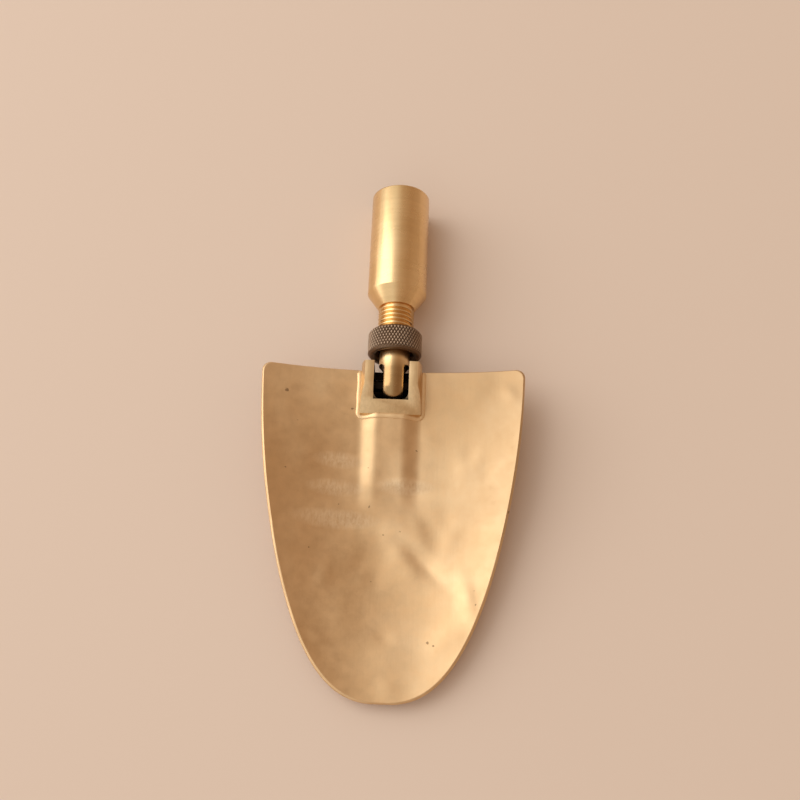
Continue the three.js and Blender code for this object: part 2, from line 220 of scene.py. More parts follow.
floor_mesh = bpy.data.meshes.new("floor")
floor_mesh.from_pydata(
    [
        (-floor_half, -floor_half, 0),
        (floor_half, -floor_half, 0),
        (floor_half, floor_half, 0),
        (-floor_half, floor_half, 0),
    ],
    [],
    [(0, 1, 2, 3)],
)
floor = bpy.data.objects.new("floor", floor_mesh)
bpy.context.scene.collection.objects.link(floor)
floor_material = bpy.data.materials.new("pale_floor")
floor_material.use_nodes = True
floor_shader = floor_material.node_tree.nodes["Principled BSDF"]
floor_shader.inputs["Base Color"].default_value = (*floor_colour, 1)
floor_shader.inputs["Roughness"].default_value = floor_roughness
floor_mesh.materials.append(floor_material)
print("floor", 2 * floor_half, "m across")

# %% [markdown]
# All the finishes are brass, and differ in how the metal was worked: turned, filed, hammered,
# brazed or left to darken. Each has its own tool marks. They are bump and roughness, while the
# shapes that cast a shadow, such as the knurl and the hammer's facets, are in the meshes. Pictures
# of metal could be laid on instead, but noise on Object coordinates needs no unwrapping, has no
# seams and keeps its real size on every piece.

# %% Material helpers


def metal(name):
    """A metal material with its tree and shader. Its colour, roughness and bump are linked later."""
    material = bpy.data.materials.new(name)
    material.use_nodes = True
    tree = material.node_tree
    shader = tree.nodes["Principled BSDF"]
    shader.inputs["Metallic"].default_value = 1.0
    return material, tree, shader


def grain(tree, scale, stretch=(1, 1, 1), turn=(0, 0, 0), detail=3.0, roughness=0.6):
    """Noise on Object coordinates, stretched and turned by a Mapping node."""
    place = add_node(tree, "ShaderNodeTexCoord")
    mapping = add_node(tree, "ShaderNodeMapping", None, {"Scale": stretch, "Rotation": turn})
    texture = add_node(
        tree,
        "ShaderNodeTexNoise",
        None,
        {"Scale": scale, "Detail": detail, "Roughness": roughness},
    )
    tree.links.new(place.outputs["Object"], mapping.inputs["Vector"])
    tree.links.new(mapping.outputs["Vector"], texture.inputs["Vector"])
    return texture.outputs["Fac"]


def place_on_object(tree):
    """The X, Y and Z of Object coordinates, as the outputs of a Separate XYZ node."""
    place = add_node(tree, "ShaderNodeTexCoord")
    split = add_node(tree, "ShaderNodeSeparateXYZ")
    tree.links.new(place.outputs["Object"], split.inputs[0])
    return split.outputs


def clamped_share(tree, operation, first, second):
    """A Math node held between 0 and 1."""
    share = sum_up(tree, operation, first, second)
    share.node.use_clamp = True
    return share


def add_bump(tree, shader, layers):
    """Bump from a list of heights with their depth in metres, each on top of the one before."""
    normal = None
    for height, depth in layers:
        bump = add_node(tree, "ShaderNodeBump", None, {"Strength": 1.0, "Distance": depth})
        tree.links.new(height, bump.inputs["Height"])
        if normal is not None:
            tree.links.new(normal, bump.inputs["Normal"])
        normal = bump.outputs["Normal"]
    tree.links.new(normal, shader.inputs["Normal"])


def spread_between(tree, source, low, high):
    """A colour or a grey between two, by noise. Noise hardly leaves the stretch between the stops."""
    return ramp_node(tree, source, [(0.3, low), (0.7, high)])


def add_roughness(tree, shader, source, low, high):
    """Roughness between two values, by noise."""
    spread = spread_between(tree, source, low, high)
    tree.links.new(spread, shader.inputs["Roughness"])


def tinted(tree, tone, tint):
    """A tone multiplied by a tint, which is a socket or a colour."""
    return mix_colours(tree, 1.0, tone, tint, "MULTIPLY")


print("material helpers ready")

# %% [markdown]
# Turned brass: a tool left fine rings round the axis, so the noise is stretched until it changes
# only along Y. Handling dulled it in patches, and the tongue under the nut is browned as painted
# shade.
# An anisotropic highlight would hint at the rings too, but as bump they also show from close by.

# %% Turned brass
tongue_shade_reach = mm(9)
tongue_shade_fade = mm(4)
tongue_shade_colour = (0.52, 0.47, 0.42)
turned_deep = (0.77, 0.52, 0.25)
turned_pale = (0.85, 0.60, 0.32)
ring_depth = mm(0.004)

turned_brass, tree, shader = metal("turned_brass")
patches = grain(tree, 60, detail=4.0)
rings = grain(tree, 900, stretch=(0.02, 1, 0.02), detail=4.0)
tone = spread_between(tree, patches, turned_deep, turned_pale)
tone = tinted(tree, tone, ramp_node(tree, rings, [(0.35, 0.94), (0.65, 1.0)]))
# Painted shade: the tongue below the nut is browned, fading out over a few millimetres towards the
# nut.
from_tongue_shade = sum_up(tree, "SUBTRACT", place_on_object(tree)["Y"], pin_place + tongue_shade_reach)
tongue_shade_share = clamped_share(tree, "DIVIDE", from_tongue_shade, -tongue_shade_fade)
tone = mix_colours(tree, tongue_shade_share, tone, tinted(tree, tone, tongue_shade_colour))
tree.links.new(tone, shader.inputs["Base Color"])
add_roughness(tree, shader, patches, 0.22, 0.31)
add_bump(tree, shader, [(rings, ring_depth)])
print(turned_brass.name)

# %% [markdown]
# Filed brass, on the clevis: straight strokes along the ears and a little unevenness. The inside of
# its slot, and the pin there, is painted black as shade, for the deep shade between the ears.
# The painted shade is worked out from the place on the object, so no face has to be picked out for
# it.

# %% Painted shade in the slot
# Painted shade: the inside of the clevis's slot, and the pin there, is darkened to near black for the
# shade between the ears.
slot_half = mm(5.75)
slot_reach = mm(5.3)
slot_shade_height = mm(4.4)
slot_shade_fade = mm(2.2)
slot_shade_overlap = mm(0.02)
slot_shade_colour = (0.012, 0.008, 0.006)
slot_end = pin_place - slot_reach
slot_shade_top = axis_height + slot_shade_height


def slot_painted_shade(tree):
    """How much painted shade a place gets: 1 deep in the clevis's slot, and 0 outside it or near its
    top.
    """
    place = place_on_object(tree)
    sideways = sum_up(tree, "SUBTRACT", place["X"], clevis_middle)
    beside = sum_up(tree, "ABSOLUTE", sideways, 0.0)
    between = sum_up(tree, "LESS_THAN", beside, slot_half + slot_shade_overlap)
    ahead = sum_up(tree, "GREATER_THAN", place["Y"], slot_end - slot_shade_overlap)
    down = sum_up(tree, "SUBTRACT", slot_shade_top, place["Z"])
    depth = clamped_share(tree, "DIVIDE", down, slot_shade_fade)
    return sum_up(tree, "MULTIPLY", sum_up(tree, "MULTIPLY", between, ahead), depth)


print("painted slot shade fades out over", round(1000 * slot_shade_fade, 1), "mm")

# %% Filed brass
filed_deep = (0.72, 0.50, 0.26)
filed_pale = (0.84, 0.62, 0.36)
waviness = mm(0.05)
stroke_depth = mm(0.006)

filed_brass, tree, shader = metal("filed_brass")
patches = grain(tree, 120, detail=4.0)
strokes = grain(tree, 1500, stretch=(1, 0.06, 1), detail=3.0)
tone = spread_between(tree, patches, filed_deep, filed_pale)
tone = tinted(tree, tone, spread_between(tree, strokes, 0.86, 1.0))
# Painted shade: the inside of the slot is darkened to near black.
tone = mix_colours(tree, slot_painted_shade(tree), tone, slot_shade_colour)
tree.links.new(tone, shader.inputs["Base Color"])
add_roughness(tree, shader, patches, 0.32, 0.46)
add_bump(tree, shader, [(patches, waviness), (strokes, stroke_depth)])
print(filed_brass.name)

# %% [markdown]
# The pin is of the same brass, with the same painted shade between the ears. Its finish is a separate
# one only because hammering left its ends dented, with no strokes of a file.

# %% Brass of the pin
pin_deep = (0.70, 0.48, 0.25)
pin_pale = (0.80, 0.57, 0.32)
dent_depth = mm(0.02)

pin_brass, tree, shader = metal("pin_brass")
patches = grain(tree, 300, detail=3.0)
tone = spread_between(tree, patches, pin_deep, pin_pale)
# Painted shade: the pin between the ears is darkened to near black, as the slot is.
tone = mix_colours(tree, slot_painted_shade(tree), tone, slot_shade_colour)
tree.links.new(tone, shader.inputs["Base Color"])
add_roughness(tree, shader, patches, 0.34, 0.48)
add_bump(tree, shader, [(patches, dent_depth)])
print(pin_brass.name)

# %% [markdown]
# Hammered brass, on the blade: the big facets are in the mesh. The finish adds the dull cloudy
# patches, fine scratches that cross at two angles, and dark specks where the metal is pitted.
# Four streaks across the middle are painted highlights, for light caught by the hammer marks there,
# and the upper right corner is duller. They could be painted on as a picture, but an ellipse on
# Object coordinates is four numbers, which are easy to correct.

# %% Spots on the sheet
highlight_streaks = [
    # x, y, half width and half height, in mm
    (-17.0, -10.5, 8.5, 3.0),
    (-17.5, -19.4, 10.0, 3.0),
    (-17.0, -29.4, 15.0, 3.6),
    (5.0, -18.2, 10.0, 3.0),
]
# Painted highlight: the streaks are brightened to stand for light caught by the hammer marks.
highlight_colour = (0.93, 0.74, 0.50)
dull_corner = (34.0, -8.0, 24.0, 46.0)
dull_colour = (0.78, 0.76, 0.74)


def spot_mask(tree, x, y, half_width, half_height):
    """One at a place on the sheet, fading to nothing on an ellipse around it. In mm."""
    place = place_on_object(tree)
    beside = sum_up(tree, "SUBTRACT", place["X"], mm(x))
    beside = sum_up(tree, "DIVIDE", beside, mm(half_width))
    ahead = sum_up(tree, "SUBTRACT", place["Y"], mm(y))
    ahead = sum_up(tree, "DIVIDE", ahead, mm(half_height))
    far = sum_up(tree, "MULTIPLY", beside, beside)
    far = sum_up(tree, "ADD", far, sum_up(tree, "MULTIPLY", ahead, ahead))
    return clamped_share(tree, "SUBTRACT", 1.0, far)


print(len(highlight_streaks), "painted highlight streaks")

# %% Hammered brass
sheet_deep = (0.70, 0.47, 0.25)
sheet_middle = (0.755, 0.525, 0.295)
sheet_pale = (0.80, 0.58, 0.345)
pit_colour = (0.20, 0.12, 0.06)
mottle_depth = mm(0.03)
scratch_depth = mm(0.012)
cross_scratch_depth = mm(0.010)

hammered_brass, tree, shader = metal("hammered_brass")
clouds = grain(tree, 28, detail=5.0, roughness=0.62)
mottle = grain(tree, 240, detail=5.0, roughness=0.65)
scratches = grain(tree, 1300, stretch=(1, 0.05, 0.3), turn=(0, 0, 0.35), detail=2.0)
cross_scratches = grain(tree, 1100, stretch=(0.06, 1, 0.3), turn=(0, 0, 0.2), detail=2.0)
pits = grain(tree, 420, detail=1.0)
tone = ramp_node(tree, clouds, [(0.30, sheet_deep), (0.52, sheet_middle), (0.72, sheet_pale)])
tone = tinted(tree, tone, ramp_node(tree, mottle, [(0.32, 0.92), (0.62, 1.0)]))
pit_mask = ramp_node(tree, pits, [(0.77, 0.0), (0.80, 0.7)])
tone = mix_colours(tree, pit_mask, tone, pit_colour)
tone = mix_colours(tree, spot_mask(tree, *dull_corner), tone, tinted(tree, tone, dull_colour))
broken = grain(tree, 1500, stretch=(1, 0.3, 1), detail=4.0)
highlight_breakup = ramp_node(tree, broken, [(0.34, 0.15), (0.66, 0.75)])
# Painted highlight: each streak is brightened, broken up by noise.
for streak in highlight_streaks:
    highlighted = sum_up(tree, "MULTIPLY", spot_mask(tree, *streak), highlight_breakup)
    tone = mix_colours(tree, highlighted, tone, highlight_colour)
tree.links.new(tone, shader.inputs["Base Color"])
add_roughness(tree, shader, mottle, 0.46, 0.58)
bumps = [
    (mottle, mottle_depth),
    (scratches, scratch_depth),
    (cross_scratches, cross_scratch_depth),
]
add_bump(tree, shader, bumps)
print(hammered_brass.name)

# %% [markdown]
# Aged brass, on the lock nut: nearly black in the knurl's grooves, and rubbed lighter on the
# diamonds' tips. The mesh carries how high each point stands, in the attribute "knurl_height",
# and the plain faces beside the knurl carry one middle value there. Noise could not follow the
# diamonds, and the attribute does so exactly.

# %% Aged brass
groove_colour = (0.045, 0.027, 0.017)
flank_colour = (0.21, 0.135, 0.085)
tip_colour = (0.46, 0.335, 0.24)
wear_depth = mm(0.02)

aged_brass, tree, shader = metal("aged_brass")
stand = add_node(tree, "ShaderNodeAttribute", {"attribute_name": "knurl_height"})
patches = grain(tree, 160, detail=4.0)
worn_stops = [(0.0, groove_colour), (0.45, flank_colour), (1.0, tip_colour)]
worn = ramp_node(tree, stand.outputs["Fac"], worn_stops)
patchy = spread_between(tree, patches, 0.75, 1.0)
tree.links.new(tinted(tree, worn, patchy), shader.inputs["Base Color"])
add_roughness(tree, shader, patches, 0.38, 0.55)
add_bump(tree, shader, [(patches, wear_depth)])
print(aged_brass.name)

# %% [markdown]
# Brazing metal: it ran as a liquid, so it is smooth and a little lumpy, and paler than the sheet.
# One noise serves for its colour, its roughness and its lumps, because all three come and go
# together where the metal pooled.

# %% Brazing metal
brazing_deep = (0.76, 0.52, 0.28)
brazing_pale = (0.86, 0.64, 0.38)
lump_depth = mm(0.06)

brazing_metal, tree, shader = metal("brazing_metal")
lumps = grain(tree, 300, detail=3.0)
tone = spread_between(tree, lumps, brazing_deep, brazing_pale)
tree.links.new(tone, shader.inputs["Base Color"])
add_roughness(tree, shader, lumps, 0.42, 0.55)
add_bump(tree, shader, [(lumps, lump_depth)])
print(brazing_metal.name)

# %% [markdown]
# Shapes are made from a few kinds of surface. A turned piece is a profile of radius and place that
# goes round the shovel's axis, as on a lathe. A slab is a plan outline with a thickness, and a bar
# is a row of rings: both serve as cutters too. All of them close on themselves, so every piece is a
# solid, and an exact Boolean can cut one out of another.

# %% Objects and shading
same_point = 1e-7


def close_mesh(mesh):
    """Merges doubled points and turns every face outwards."""
    shaped = bmesh.new()
    shaped.from_mesh(mesh)
    bmesh.ops.remove_doubles(shaped, verts=shaped.verts, dist=same_point)
    bmesh.ops.recalc_face_normals(shaped, faces=shaped.faces)
    shaped.to_mesh(mesh)
    shaped.free()


def shade(made, sharp_angle):
    """Smooth shading, with the edges over an angle in degrees kept sharp."""
    made.data.shade_smooth()
    made.data.set_sharp_from_angle(angle=math.radians(sharp_angle))


def new_object(name, points, faces, material):
    """A closed, smooth-shaded object at the origin."""
    mesh = bpy.data.meshes.new(name)
    mesh.from_pydata([tuple(point) for point in points], [], faces)
    mesh.validate()
    close_mesh(mesh)
    mesh.materials.append(material)
    made = bpy.data.objects.new(name, mesh)
    bpy.context.scene.collection.objects.link(made)
    shade(made, sharp_angle=35)
    return made


print("points nearer than", same_point, "m are one")

# %% Turned shapes


def turned(profile, sides):
    """Points and faces of a profile turned round the shovel's axis. The profile is closed, or
    starts and ends on the axis."""
    points = []
    for radius, place in profile:
        for step in range(sides):
            angle = 2 * math.pi * step / sides
            points.append((radius * math.sin(angle), place, axis_height + radius * math.cos(angle)))
    closed = profile[0][0] > 0
    faces = []
    for ring in range(len(profile) if closed else len(profile) - 1):
        here = ring * sides
        there = ((ring + 1) % len(profile)) * sides
        for step in range(sides):
            after = (step + 1) % sides
            faces.append((here + step, here + after, there + after, there + step))
    return points, faces


def rounded(corner, before, after, radius, steps):
    """Points of a round corner in a profile, between the directions to its two neighbours."""
    corner, before, after = Vector(corner), Vector(before), Vector(after)
    towards = (before - corner).normalized()
    onwards = (after - corner).normalized()
    half = towards.angle(onwards) / 2
    cut = radius / math.tan(half)
    start = corner + towards * cut
    end = corner + onwards * cut
    arc = []
    for step in range(steps + 1):
        share = step / steps
        first = start.lerp(corner, share)
        second = corner.lerp(end, share)
        arc.append(tuple(first.lerp(second, share)))
    return arc


print("turned shapes ready")

# %% Slabs and bars
# Each ring of a bar's domed end: how far out it stands, and how wide it is, as shares.
dome_rings = ((1.0, 0.55), (0.4, 0.9), (0.0, 1.0))


def slab(name, outline, low, high):
    """A plan outline with a thickness, from one height to another."""
    count = len(outline)
    points = [(x, y, low) for x, y in outline] + [(x, y, high) for x, y in outline]
    faces = [tuple(range(count)), tuple(range(count, 2 * count))]
    for step in range(count):
        after = (step + 1) % count
        faces.append((step, after, count + after, count + step))
    return new_object(name, points, faces, turned_brass)


def tube_faces(ring_count, sides):
    """Faces between rings of points, and one across each end."""
    total = ring_count * sides
    faces = [tuple(range(sides)), tuple(range(total - sides, total))]
    for here in range(0, total - sides, sides):
        for step in range(sides):
            after = (step + 1) % sides
            faces.append((here + step, here + after, here + sides + after, here + sides + step))
    return faces


def pin_bar(name, radius, left, right, sides, dome, material):
    """A round bar along the hinge's axis, with slightly domed ends."""
    rings = [(left - dome * rise, radius * size) for rise, size in dome_rings]
    rings += [(right + dome * rise, radius * size) for rise, size in reversed(dome_rings)]
    points = []
    for place, size in rings:
        for step in range(sides):
            angle = 2 * math.pi * step / sides
            points.append(
                (place, pin_place + size * math.cos(angle), axis_height + size * math.sin(angle))
            )
    return new_object(name, points, tube_faces(len(rings), sides), material)


print("slabs and bars ready")

# %% Cuts and soft edges


def baked(made):
    """The evaluated mesh of an object becomes its own mesh, and its modifiers go."""
    evaluated = made.evaluated_get(bpy.context.evaluated_depsgraph_get())
    mesh = bpy.data.meshes.new_from_object(evaluated)
    made.modifiers.clear()
    made.data = mesh
    return made


def cut_with(made, tool):
    """Cuts one closed object out of another, and deletes the tool."""
    modifier = made.modifiers.new("cut", "BOOLEAN")
    modifier.operation = "DIFFERENCE"
    modifier.solver = "EXACT"
    modifier.object = tool
    bpy.context.view_layer.update()
    baked(made)
    bpy.data.objects.remove(tool)
    return made


def soften(made, width, angle, steps):
    """Rounds the edges over an angle, as a file does, and shades the faces smooth."""
    bevel = made.modifiers.new("soft_edges", "BEVEL")
    bevel.width = width
    bevel.segments = steps
    bevel.limit_method = "ANGLE"
    bevel.angle_limit = math.radians(angle)
    bevel.use_clamp_overlap = True
    baked(made)
    shade(made, sharp_angle=40)
    return made


print("cuts and soft edges ready")

# %% [markdown]
# The socket is one turned piece: a tube for the handle, a cone, a threaded neck, a plain stud with
# a ball end, and flats milled on that end to make the tongue. The body is a turned profile with
# small round corners, and the flats and the pin's hole are cut out of it. A Screw modifier could
# turn the profile as well, but the function that does it here also serves the nut.

# %% Sizes of the socket
bore_radius = mm(8)
bore_depth = mm(34)
drill_tip = mm(2.9)
rim_round = mm(0.6)
cone_length = mm(5.3)
thread_crest = mm(6)
thread_root = mm(5.08)
thread_pitch = mm(1.5)
thread_length = mm(15.7)
neck_step = mm(0.2)
stud_radius = mm(5)
stud_length = mm(12.5)
tongue_half = mm(3.25)
flat_length = mm(7)
cutter_radius = mm(1.7)
cut_margin = mm(1)
shoulder_chamfer = mm(0.3)
turned_sides = 144
ball_steps = 14
corner_steps = 3
cutter_steps = 8

cone_start = pin_place + stud_length + thread_length
socket_start = cone_start + cone_length
bore_end = socket_high.y - bore_depth
print("cone from y", round(cone_start, 5), "to", round(socket_start, 5))

# %% Turn the socket
profile = []
for step in range(ball_steps + 1):
    angle = math.pi / 2 * step / ball_steps
    profile.append((stud_radius * math.sin(angle), pin_place - stud_radius * math.cos(angle)))
corners = [
    # radius and place of each corner, and the radius of its round
    ((stud_radius, pin_place + stud_length), mm(0.15)),
    ((thread_root, pin_place + stud_length + shoulder_chamfer), mm(0.1)),
    ((thread_root, cone_start), mm(0.2)),
    ((thread_crest + neck_step, cone_start), mm(0.12)),
    ((socket_radius, socket_start), mm(0.35)),
    ((socket_radius, socket_high.y), rim_round),
    ((bore_radius, socket_high.y), rim_round),
    ((bore_radius, bore_end), mm(0.4)),
]
for place, (corner, radius) in enumerate(corners):
    before = corners[place - 1][0] if place else profile[ball_steps]
    after = corners[place + 1][0] if place + 1 < len(corners) else (0, bore_end - drill_tip)
    profile.extend(rounded(corner, before, after, radius, corner_steps))
profile.append((0, bore_end - drill_tip))
points, faces = turned(profile, turned_sides)
socket_turned = new_object("socket_turned", points, faces, turned_brass)
print("socket:", len(socket_turned.data.polygons), "faces")

# %% [markdown]
# A milling cutter took a flat off each side of the stud and left a round corner of its own radius.
# The same is done here with two slabs, and then a bar cuts the pin's hole. Drawing the cutters is
# simpler than drawing the tongue, and gives the edges that the real cuts gave.

# %% Mill the tongue and drill for the pin


def flat_tool(side):
    """The block that a round-cornered cutter takes off one side of the stud."""
    far = side * (stud_radius + cut_margin)
    near = side * tongue_half
    reach = pin_place - stud_radius - cut_margin
    outline = [(near, reach), (far, reach), (far, pin_place + flat_length)]
    for step in range(cutter_steps + 1):
        angle = math.pi / 2 * (1 + step / cutter_steps)
        outline.append(
            (
                near + side * cutter_radius * (1 + math.cos(angle)),
                pin_place + flat_length - cutter_radius * (1 - math.sin(angle)),
            )
        )
    return slab("flat_tool", outline, axis_height - 2 * stud_radius, axis_height + 2 * stud_radius)


pin_clearance = mm(0.15)
hole_dome = mm(0.01)
hole_sides = 48
cut_with(socket_turned, flat_tool(1))
cut_with(socket_turned, flat_tool(-1))
hole_tool = pin_bar(
    "hole_tool",
    pin_radius + pin_clearance,
    -stud_radius,
    stud_radius,
    hole_sides,
    hole_dome,
    turned_brass,
)
cut_with(socket_turned, hole_tool)
shade(socket_turned, sharp_angle=35)
print("socket with its tongue:", len(socket_turned.data.polygons), "faces")

# %% [markdown]
# What repeats, such as a thread or a knurl, is made by Geometry Nodes. Each tree has its sizes as
# named inputs, which are set on the modifier by the identifier of their socket. The tree ends in
# Realize Instances and Set Material, and its result is kept as a plain mesh.

# %% Geometry trees


def new_tree(name, inputs):
    """A geometry tree with its named inputs, and the identifier of each."""
    tree = bpy.data.node_groups.new(name, "GeometryNodeTree")
    tree.interface.new_socket("Geometry", in_out="OUTPUT", socket_type="NodeSocketGeometry")
    identifiers = {}
    for title, (kind, value) in inputs.items():
        socket = tree.interface.new_socket(title, in_out="INPUT", socket_type=kind)
        if value is not None:
            socket.default_value = value
        identifiers[title] = socket.identifier
    return tree, identifiers


def end_tree(tree, entry, last):
    """Makes instances real, sets the material and hands out the result."""
    whole = add_node(tree, "GeometryNodeRealizeInstances")
    tree.links.new(last, whole.inputs[0])
    coated = add_node(tree, "GeometryNodeSetMaterial")
    tree.links.new(whole.outputs[0], coated.inputs["Geometry"])
    tree.links.new(entry.outputs["Material"], coated.inputs["Material"])
    leave = add_node(tree, "NodeGroupOutput")
    tree.links.new(coated.outputs[0], leave.inputs[0])


def run_tree(made, tree, identifiers, inputs, material):
    """Runs a tree on an object, and keeps the result as the object's plain mesh."""
    modifier = made.modifiers.new(tree.name, "NODES")
    modifier.node_group = tree
    for title, (kind, value) in inputs.items():
        if kind == "NodeSocketFloat":
            modifier[identifiers[title]] = value
    modifier[identifiers["Material"]] = material
    return baked(made)


print("geometry tree helpers ready")

# %% [markdown]
# The thread repeats a ridge once each pitch, and follows a helix. A Spiral curve is that helix, and
# Curve to Mesh sweeps the ridge's section along it. The section's foot lies just inside the neck.
# Plain rings would be simpler, but the eye sees at once that they don't climb.

# %% Thread tree
thread_turns = 9.6
thread_foot = mm(1.36)
thread_top = mm(0.24)
thread_sink = mm(0.08)
thread_height = thread_crest - thread_root + thread_sink
thread_runout = mm(0.8)
points_in_turn = 96

thread_inputs = {
    "Turns": ("NodeSocketFloat", thread_turns),
    "Pitch": ("NodeSocketFloat", thread_pitch),
    "Radius": ("NodeSocketFloat", thread_root),
    "Material": ("NodeSocketMaterial", None),
}
thread_tree, thread_ids = new_tree("helical_thread", thread_inputs)
entry = add_node(thread_tree, "NodeGroupInput")
spiral = add_node(thread_tree, "GeometryNodeCurveSpiral", None, {"Resolution": points_in_turn})
rise = sum_up(thread_tree, "MULTIPLY", entry.outputs["Turns"], entry.outputs["Pitch"])
thread_tree.links.new(entry.outputs["Turns"], spiral.inputs["Rotations"])
thread_tree.links.new(entry.outputs["Radius"], spiral.inputs["Start Radius"])
thread_tree.links.new(entry.outputs["Radius"], spiral.inputs["End Radius"])
thread_tree.links.new(rise, spiral.inputs["Height"])
upright = add_node(thread_tree, "GeometryNodeSetCurveNormal", {"mode": "Z_UP"})
thread_tree.links.new(spiral.outputs[0], upright.inputs["Curve"])
section = add_node(thread_tree, "GeometryNodeCurvePrimitiveQuadrilateral", {"mode": "TRAPEZOID"})
section.inputs["Bottom Width"].default_value = thread_foot
section.inputs["Top Width"].default_value = thread_top
section.inputs["Height"].default_value = thread_height
section.inputs["Offset"].default_value = 0.0
placed = add_node(thread_tree, "GeometryNodeTransform")
placed.inputs["Translation"].default_value = (0, thread_height / 2 - thread_sink, 0)
thread_tree.links.new(section.outputs[0], placed.inputs["Geometry"])
turned_section = add_node(thread_tree, "GeometryNodeTransform")
turned_section.inputs["Rotation"].default_value = (0, 0, math.pi / 2)
thread_tree.links.new(placed.outputs[0], turned_section.inputs["Geometry"])
swept = add_node(thread_tree, "GeometryNodeCurveToMesh", None, {"Fill Caps": True})
thread_tree.links.new(upright.outputs[0], swept.inputs["Curve"])
thread_tree.links.new(turned_section.outputs[0], swept.inputs["Profile Curve"])
end_tree(thread_tree, entry, swept.outputs[0])
print("thread tree with", len(thread_tree.nodes), "nodes")

# %% Cut the thread along the neck
thread_object = bpy.data.objects.new("stem_thread", bpy.data.meshes.new("stem_thread"))
bpy.context.scene.collection.objects.link(thread_object)
run_tree(thread_object, thread_tree, thread_ids, thread_inputs, turned_brass)
thread_start = cone_start - thread_runout - thread_turns * thread_pitch
thread_object.data.transform(
    Matrix.Translation((0, thread_start, axis_height)) @ Matrix.Rotation(-math.pi / 2, 4, "X")
)
close_mesh(thread_object.data)
shade(thread_object, sharp_angle=30)
thread_box = [tuple(round(1000 * v, 2) for v in corner) for corner in thread_object.bound_box]
print("thread from", thread_box[0], "to", thread_box[6], len(thread_object.data.polygons), "faces")

# %% [markdown]
# The lock nut is a turned ring with a diamond knurl. The ring has enough points round and along to
# carry the diamonds, and a geometry tree lifts each point by a formula: two families of grooves
# cross at 30 degrees to the axis, and a point is as high as the nearer groove is far. Booleans
# could cut the hundred grooves one by one, but that is slow and leaves slivers.

# %% Turn the nut
nut_radius = (nut_high.z - nut_low.z) / 2
thread_gap = mm(0.3)
nut_bore = thread_crest + thread_gap
nut_chamfer = mm(0.6)
nut_face_inset = mm(0.42)
nut_edge_inset = mm(0.3)
nut_edge_rise = mm(0.072)
nut_bore_chamfer = mm(0.9)
lower_flare = mm(0.81)
upper_flare = mm(0.45)
knurl_depth = mm(0.34)
knurl_pitch = mm(1.12)
knurl_angle = math.radians(30)
diamonds_round = round(2 * math.pi * nut_radius / knurl_pitch)
points_in_diamond = 10
knurl_rows = 50

valley = nut_radius - knurl_depth
band_start = nut_low.y + nut_chamfer
band_end = nut_high.y - nut_chamfer
ring_profile = [
    (nut_bore, nut_low.y + nut_bore_chamfer),
    (nut_bore + lower_flare, nut_low.y),
    (valley - nut_face_inset, nut_low.y),
    (valley - nut_edge_inset, nut_low.y + nut_edge_rise),
]
for row in range(knurl_rows + 1):
    ring_profile.append((valley, band_start + (band_end - band_start) * row / knurl_rows))
ring_profile += [
    (valley - nut_edge_inset, nut_high.y - nut_edge_rise),
    (valley - nut_face_inset, nut_high.y),
    (nut_bore + upper_flare, nut_high.y),
    (nut_bore, nut_high.y - upper_flare),
]
points, faces = turned(ring_profile, diamonds_round * points_in_diamond)
nut_knurled = new_object("nut_knurled", points, faces, aged_brass)
print("nut:", diamonds_round, "diamonds round,", len(nut_knurled.data.polygons), "faces")

# %% Inputs of the knurl
knurl_inputs = {
    "Geometry": ("NodeSocketGeometry", None),
    "Diamonds": ("NodeSocketFloat", float(diamonds_round)),
    "Lead": ("NodeSocketFloat", knurl_pitch / math.tan(knurl_angle)),
    "Depth": ("NodeSocketFloat", knurl_depth),
    "Valley": ("NodeSocketFloat", valley),
    "Start": ("NodeSocketFloat", band_start),
    "End": ("NodeSocketFloat", band_end),
    "Axis Height": ("NodeSocketFloat", axis_height),
    "Material": ("NodeSocketMaterial", None),
}
knurl_tree, knurl_ids = new_tree("diamond_knurl", knurl_inputs)
entry = add_node(knurl_tree, "NodeGroupInput")
print(len(knurl_inputs), "inputs")

# %% [markdown]
# Each point's turn round the axis and its place along it are counted in diamonds. Their sum and
# their difference are the two families of grooves, and Ping-Pong turns each count into a distance
# from the nearest groove. Points that aren't on the rolled band stay where they are.

# %% Height of the knurl
flat_top_share = 0.62
edge_margin = mm(0.01)


def knurl_sum(operation, first, second=0.0):
    return sum_up(knurl_tree, operation, first, second)


where = add_node(knurl_tree, "GeometryNodeInputPosition")
split = add_node(knurl_tree, "ShaderNodeSeparateXYZ")
knurl_tree.links.new(where.outputs[0], split.inputs[0])
right = split.outputs["X"]
above = knurl_sum("SUBTRACT", split.outputs["Z"], entry.outputs["Axis Height"])
turns = knurl_sum("MULTIPLY", knurl_sum("ARCTAN2", right, above), 1 / (2 * math.pi))
round_count = knurl_sum("MULTIPLY", turns, entry.outputs["Diamonds"])
along = knurl_sum("SUBTRACT", split.outputs["Y"], entry.outputs["Start"])
along_count = knurl_sum("DIVIDE", along, entry.outputs["Lead"])


def groove_distance(operation):
    """How far a point is from the grooves of one family, from 0 in a groove to 1 between two."""
    phase = knurl_sum(operation, round_count, along_count)
    return knurl_sum("PINGPONG", knurl_sum("MULTIPLY", phase, 2.0), 1.0)


